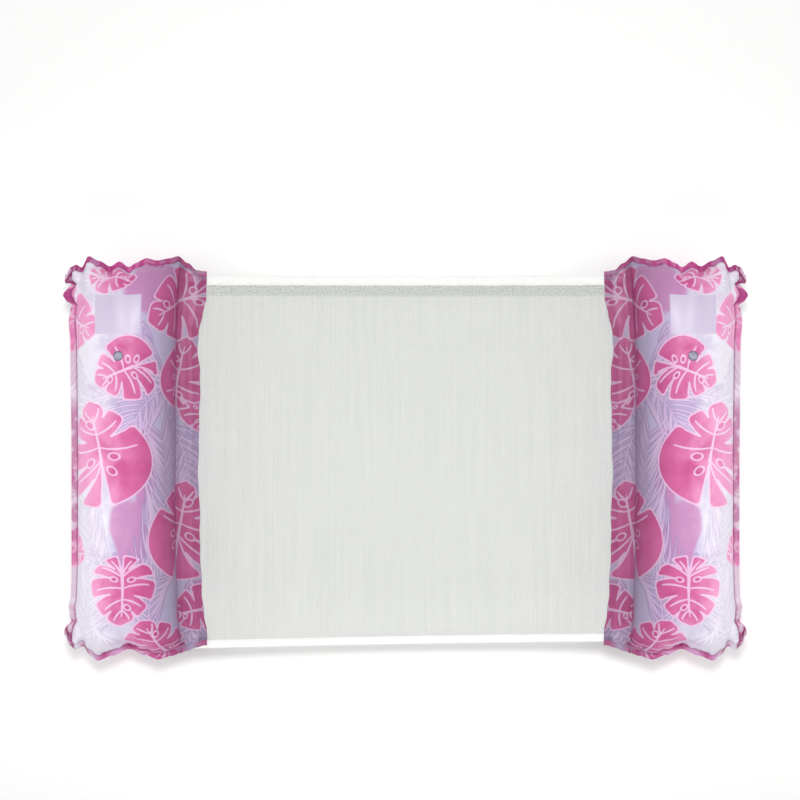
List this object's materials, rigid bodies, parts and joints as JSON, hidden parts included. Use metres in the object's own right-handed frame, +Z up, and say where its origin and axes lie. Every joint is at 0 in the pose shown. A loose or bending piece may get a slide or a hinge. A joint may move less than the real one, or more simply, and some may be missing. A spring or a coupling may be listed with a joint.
{
  "type": "inflatable hammock float",
  "caption": "Pool hammock float: two inflatable pillows of welded film at head and foot, with a sling seat of mesh between them and a push-in air valve in each pillow.",
  "frame": {"origin": "midway between the two pillows, on the surface that they rest on", "axes": "+X runs from the left pillow to the right one, +Y along the pillows towards the rear hem (the picture's top), +Z up"},
  "size_m": [1.1842, 0.6994, 0.14],
  "materials": {
    "printed_film": "gloss",
    "white_mesh": "matte",
    "white_tape": "satin",
    "clear_valve": "gloss"
  },
  "bodies": {
    "mesh_seat": {"mesh_seat_panel": "white_mesh", "front_hem_tape": "white_tape", "rear_hem_tape": "white_tape"},
    "left_pillow": {"left_upper_film": "printed_film", "left_lower_film": "printed_film", "left_edge_tape": "white_tape", "left_valve_ring": "clear_valve", "left_valve_skirt": "clear_valve"},
    "left_stem": {"left_valve_stem": "clear_valve"},
    "left_flap": {"left_check_flap": "clear_valve"},
    "left_plug": {"left_valve_plug": "clear_valve", "left_plug_tether": "clear_valve"},
    "right_pillow": {"right_upper_film": "printed_film", "right_lower_film": "printed_film", "right_edge_tape": "white_tape", "right_valve_ring": "clear_valve", "right_valve_skirt": "clear_valve"},
    "right_stem": {"right_valve_stem": "clear_valve"},
    "right_flap": {"right_check_flap": "clear_valve"},
    "right_plug": {"right_valve_plug": "clear_valve", "right_plug_tether": "clear_valve"}
  },
  "joints": [
    {"name": "left_pillow_tilt", "type": "hinge", "parent": "mesh_seat", "child": "left_pillow", "pos_m": [-0.36056, 0, 0.07], "axis": [0, 1, 0], "range_deg": [-90, 90]},
    {"name": "right_pillow_tilt", "type": "hinge", "parent": "mesh_seat", "child": "right_pillow", "pos_m": [0.36056, 0, 0.07], "axis": [0, -1, 0], "range_deg": [-90, 90]},
    {"name": "left_stem_pop_up", "type": "slide", "parent": "left_pillow", "child": "left_stem", "axis": [-0.0101, 0.0825, 0.9965], "range_m": [0, 0.012], "deforming": ["left_valve_skirt"]},
    {"name": "left_plug_pull", "type": "slide", "parent": "left_stem", "child": "left_plug", "axis": [-0.0101, 0.0825, 0.9965], "range_m": [0, 0.01], "deforming": ["left_plug_tether"]},
    {"name": "left_flap_swing", "type": "hinge", "parent": "left_stem", "child": "left_flap", "pos_m": [-0.49417, 0.17441, 0.11959], "axis": [0.0008, 0.9966, -0.0825], "range_deg": [0, 60], "stiffness_Nm_per_rad": 0.0002},
    {"name": "right_stem_pop_up", "type": "slide", "parent": "right_pillow", "child": "right_stem", "axis": [0.0101, 0.0825, 0.9965], "range_m": [0, 0.012], "deforming": ["right_valve_skirt"]},
    {"name": "right_plug_pull", "type": "slide", "parent": "right_stem", "child": "right_plug", "axis": [0.0101, 0.0825, 0.9965], "range_m": [0, 0.01], "deforming": ["right_plug_tether"]},
    {"name": "right_flap_swing", "type": "hinge", "parent": "right_stem", "child": "right_flap", "pos_m": [0.49417, 0.17441, 0.11959], "axis": [0.0008, -0.9966, 0.0825], "range_deg": [0, 60], "stiffness_Nm_per_rad": 0.0002}
  ]
}
